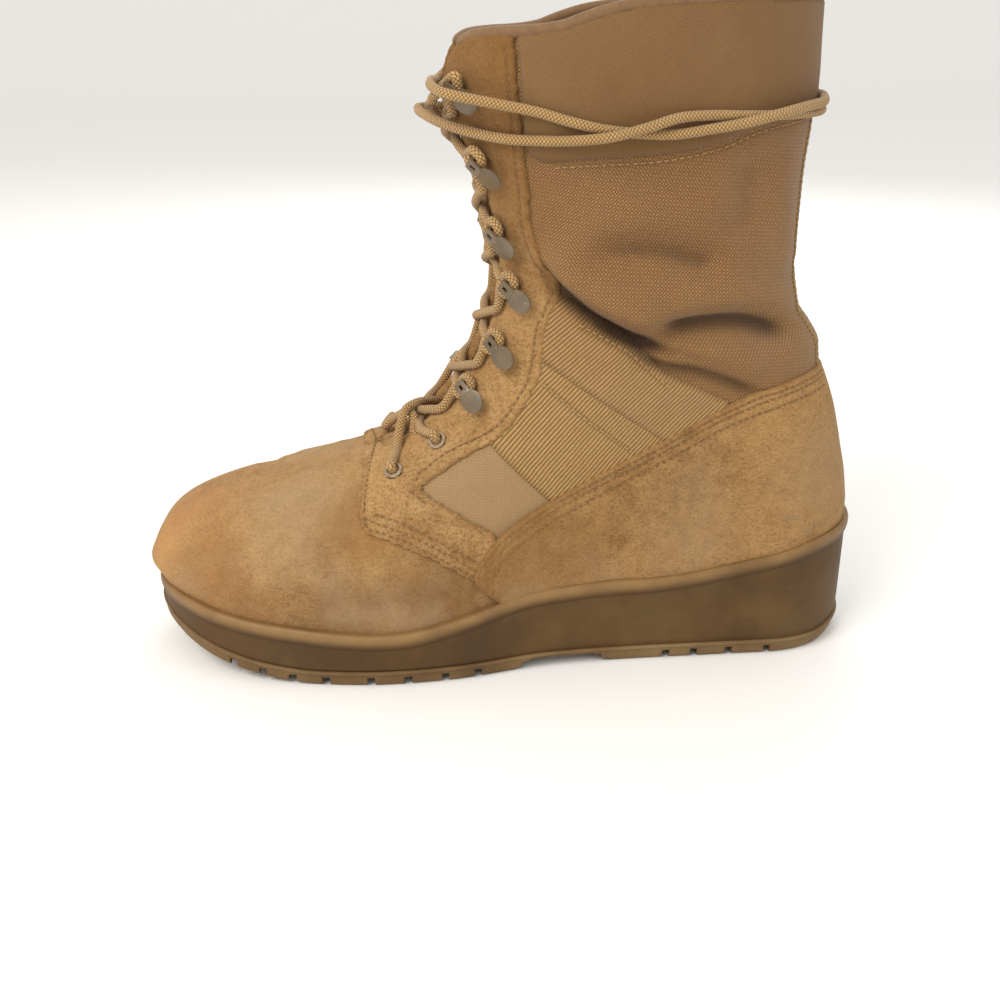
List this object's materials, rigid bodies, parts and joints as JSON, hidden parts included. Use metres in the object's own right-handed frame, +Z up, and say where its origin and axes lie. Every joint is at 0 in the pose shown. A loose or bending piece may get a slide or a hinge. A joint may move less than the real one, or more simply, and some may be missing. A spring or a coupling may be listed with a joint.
{
  "type": "combat boot",
  "caption": "Left combat boot with a suede foot, a woven nylon shaft, a rubber cup sole, two eyelets and six speed hooks a side, and a lace wound round the collar.",
  "frame": {"origin": "on the floor, under the middle of the box of the boot without its free lace", "axes": "+X to the heel, +Y to the inner side of the foot, +Z up"},
  "size_m": [0.3116, 0.1108, 0.266],
  "materials": {
    "sole_rubber": "matt moulded rubber, scuffed and dusty",
    "suede": "rough-out leather, short nap, worn",
    "nylon_weave": "coarse woven nylon",
    "lining": "matt textile",
    "lace_cord": "braided cord",
    "painted_metal": "gloss paint, worn at the edges"
  },
  "bodies": {
    "root": {"outsole": "sole_rubber", "midsole": "sole_rubber", "insole": "lining", "tongue": "nylon_weave", "collar": "nylon_weave", "upper": "suede", "counter": "suede", "drain_vent": "painted_metal", "eyestay_outer": "suede", "eyelet_outer_1": "painted_metal", "eyelet_outer_2": "painted_metal", "hook_outer_1": "painted_metal", "hook_outer_2": "painted_metal", "hook_outer_3": "painted_metal", "hook_outer_4": "painted_metal", "hook_outer_5": "painted_metal", "hook_outer_6": "painted_metal", "eyestay_inner": "suede", "eyelet_inner_1": "painted_metal", "eyelet_inner_2": "painted_metal", "hook_inner_1": "painted_metal", "hook_inner_2": "painted_metal", "hook_inner_3": "painted_metal", "hook_inner_4": "painted_metal", "hook_inner_5": "painted_metal", "hook_inner_6": "painted_metal", "lace_crossing_1": "lace_cord", "lace_crossing_2": "lace_cord", "lace_crossing_3": "lace_cord", "lace_crossing_4": "lace_cord", "lace_crossing_5": "lace_cord", "lace_crossing_6": "lace_cord", "lace_crossing_7": "lace_cord", "lace_wrap_1": "lace_cord", "lace_wrap_2": "lace_cord", "lace_knot": "lace_cord", "lace_end_1": "lace_cord", "lace_end_2": "lace_cord"}
  },
  "joints": []
}
